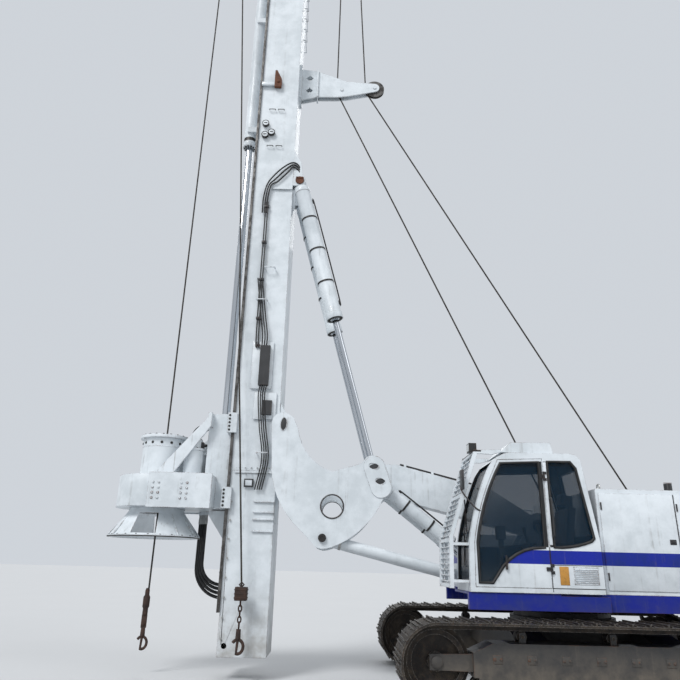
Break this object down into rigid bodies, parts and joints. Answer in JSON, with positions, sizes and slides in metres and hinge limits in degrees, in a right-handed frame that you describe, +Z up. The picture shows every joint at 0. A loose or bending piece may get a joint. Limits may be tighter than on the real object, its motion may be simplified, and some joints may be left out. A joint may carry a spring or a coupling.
{
  "type": "rotary piling rig",
  "caption": "Crawler piling rig with an upright box mast, rotary head with bell, rocker-plate parallelogram boom, cab, houses and counterweight.",
  "frame": {"origin": "on the ground, at the middle of the whole machine's box", "axes": "+Z up, -X towards the mast and rotary head, -Y towards the cab side"},
  "size_m": [11.2398, 4.3, 21.79],
  "materials": {
    "white_paint": "semi-gloss, weathered",
    "blue_paint": "semi-gloss",
    "black_paint": "satin",
    "track_steel": "worn, dusty",
    "greased_steel": "greasy",
    "worn_steel": "worn",
    "rod_chrome": "polished",
    "tinted_glass": "tinted",
    "cab_trim": "matt",
    "hose_rubber": "matt"
  },
  "bodies": {
    "undercarriage": {"carbody": "white_paint", "slew_ring": "track_steel", "track_frame_left": "white_paint", "track_frame_right": "white_paint", "track_left": "track_steel", "track_right": "track_steel", "sprockets": "track_steel", "idlers": "track_steel", "track_rollers": "track_steel"},
    "upper": {"upper_frame": "blue_paint", "girders": "white_paint", "winch_stands": "white_paint", "cab_shell": "white_paint", "cab_floor": "cab_trim", "cab_glass": "tinted_glass", "cab_guard": "white_paint", "cab_seat": "cab_trim", "left_house": "white_paint", "right_house": "white_paint", "engine": "greased_steel", "counterweight": "white_paint"},
    "cab_door": {"cab_door": "white_paint", "door_glass": "tinted_glass"},
    "main_drum": {"main_drum": "greased_steel"},
    "aux_drum": {"aux_drum": "greased_steel"},
    "boom": {"boom": "white_paint"},
    "struts": {"lower_struts": "white_paint"},
    "rocker": {"rocker_plates": "white_paint"},
    "boom_barrels": {"boom_barrels": "white_paint"},
    "boom_rods": {"boom_rods": "rod_chrome"},
    "mast": {"mast_foot": "white_paint", "mast_body": "white_paint", "mast_top": "white_paint", "mast_rails": "greased_steel", "mast_head": "white_paint", "mast_bracket": "white_paint", "jib_arm": "white_paint", "valve_boxes": "black_paint", "crowd_barrel": "white_paint", "hose_1": "hose_rubber", "hose_2": "hose_rubber", "hose_3": "hose_rubber", "hose_4": "hose_rubber"},
    "mast_barrels": {"mast_barrels": "white_paint"},
    "mast_rods": {"mast_rods": "rod_chrome"},
    "front_sheaves": {"front_sheaves": "greased_steel"},
    "rear_sheaves": {"rear_sheaves": "greased_steel"},
    "jib_sheave": {"jib_sheave": "greased_steel"},
    "jib_roller": {"jib_roller": "greased_steel"},
    "carriage": {"carriage": "white_paint", "rotary_case": "white_paint", "rotary_motors": "white_paint", "crowd_rod": "rod_chrome"},
    "rotary_drive": {"drive_sleeve": "worn_steel", "bell": "white_paint"}
  },
  "joints": [
    {"name": "slew", "type": "hinge", "parent": "undercarriage", "child": "upper", "pos_m": [1.57, 0, 1.09], "axis": [0, 0, 1], "continuous": true},
    {"name": "door_swing", "type": "hinge", "parent": "upper", "child": "cab_door", "pos_m": [0.964, -1.586, 2.24], "axis": [0, 0, 1], "range_deg": [0, 100]},
    {"name": "main_drum_spin", "type": "hinge", "parent": "upper", "child": "main_drum", "pos_m": [2.054, 0, 2.05], "axis": [0, 1, 0], "continuous": true},
    {"name": "aux_drum_spin", "type": "hinge", "parent": "upper", "child": "aux_drum", "pos_m": [3.47, 0, 1.8], "axis": [0, 1, 0], "continuous": true},
    {"name": "boom_lift", "type": "hinge", "parent": "upper", "child": "boom", "pos_m": [1.26, 0, 2.265], "axis": [0, 1, 0], "range_deg": [-4, 40]},
    {"name": "strut_swing", "type": "hinge", "parent": "upper", "child": "struts", "pos_m": [0.37, 0, 1.395], "axis": [0, 1, 0], "range_deg": [-4, 40]},
    {"name": "rocker_level", "type": "hinge", "parent": "boom", "child": "rocker", "pos_m": [-1.29, 0, 2.86], "axis": [0, 1, 0], "range_deg": [-40, 4]},
    {"name": "boom_barrel_swing", "type": "hinge", "parent": "boom", "child": "boom_barrels", "pos_m": [-1.29, 0, 2.86], "axis": [0, 1, 0], "range_deg": [-4.06, 0.59]},
    {"name": "boom_rod_slide", "type": "slide", "parent": "boom_barrels", "child": "boom_rods", "axis": [0.7889, 0, -0.6145], "range_m": [-0.078, 0.737]},
    {"name": "mast_tilt", "type": "hinge", "parent": "rocker", "child": "mast", "pos_m": [-2.86, 0, 3.74], "axis": [0, 1, 0], "range_deg": [-4, 90]},
    {"name": "mast_barrel_swing", "type": "hinge", "parent": "mast", "child": "mast_barrels", "pos_m": [-2.82, 0, 8.48], "axis": [0, 1, 0], "range_deg": [-0.39, 4.49]},
    {"name": "mast_rod_slide", "type": "slide", "parent": "mast_barrels", "child": "mast_rods", "axis": [0.2564, 0, -0.9666], "range_m": [-2.255, 0.105]},
    {"name": "crowd", "type": "slide", "parent": "mast", "child": "carriage", "axis": [0, 0, 1], "range_m": [0, 4.9]},
    {"name": "drive_spin", "type": "hinge", "parent": "carriage", "child": "rotary_drive", "pos_m": [-4.9, 0, 2.4], "axis": [0, 0, 1], "continuous": true},
    {"name": "front_sheave_spin", "type": "hinge", "parent": "mast", "child": "front_sheaves", "pos_m": [-4.57, 0, 21.46], "axis": [0, 1, 0], "continuous": true},
    {"name": "rear_sheave_spin", "type": "hinge", "parent": "mast", "child": "rear_sheaves", "pos_m": [-2.41, 0, 21.46], "axis": [0, 1, 0], "continuous": true},
    {"name": "jib_sheave_spin", "type": "hinge", "parent": "mast", "child": "jib_sheave", "pos_m": [-1.38, 0, 11.06], "axis": [0, 1, 0], "continuous": true},
    {"name": "jib_roller_spin", "type": "hinge", "parent": "mast", "child": "jib_roller", "pos_m": [-2.07, 0, 10.99], "axis": [0, 1, 0], "continuous": true}
  ],
  "couplings": [
    {"joint": "strut_swing", "follows": "boom_lift", "ratio": 1},
    {"joint": "rocker_level", "follows": "boom_lift", "ratio": -1},
    {"joint": "boom_barrel_swing", "follows": "boom_lift", "ratio": -0.0964},
    {"joint": "boom_rod_slide", "follows": "boom_lift", "m_per_rad": 1.0483},
    {"joint": "mast_barrel_swing", "follows": "mast_tilt", "ratio": 0.04769},
    {"joint": "mast_rod_slide", "follows": "mast_tilt", "m_per_rad": -1.4324}
  ]
}
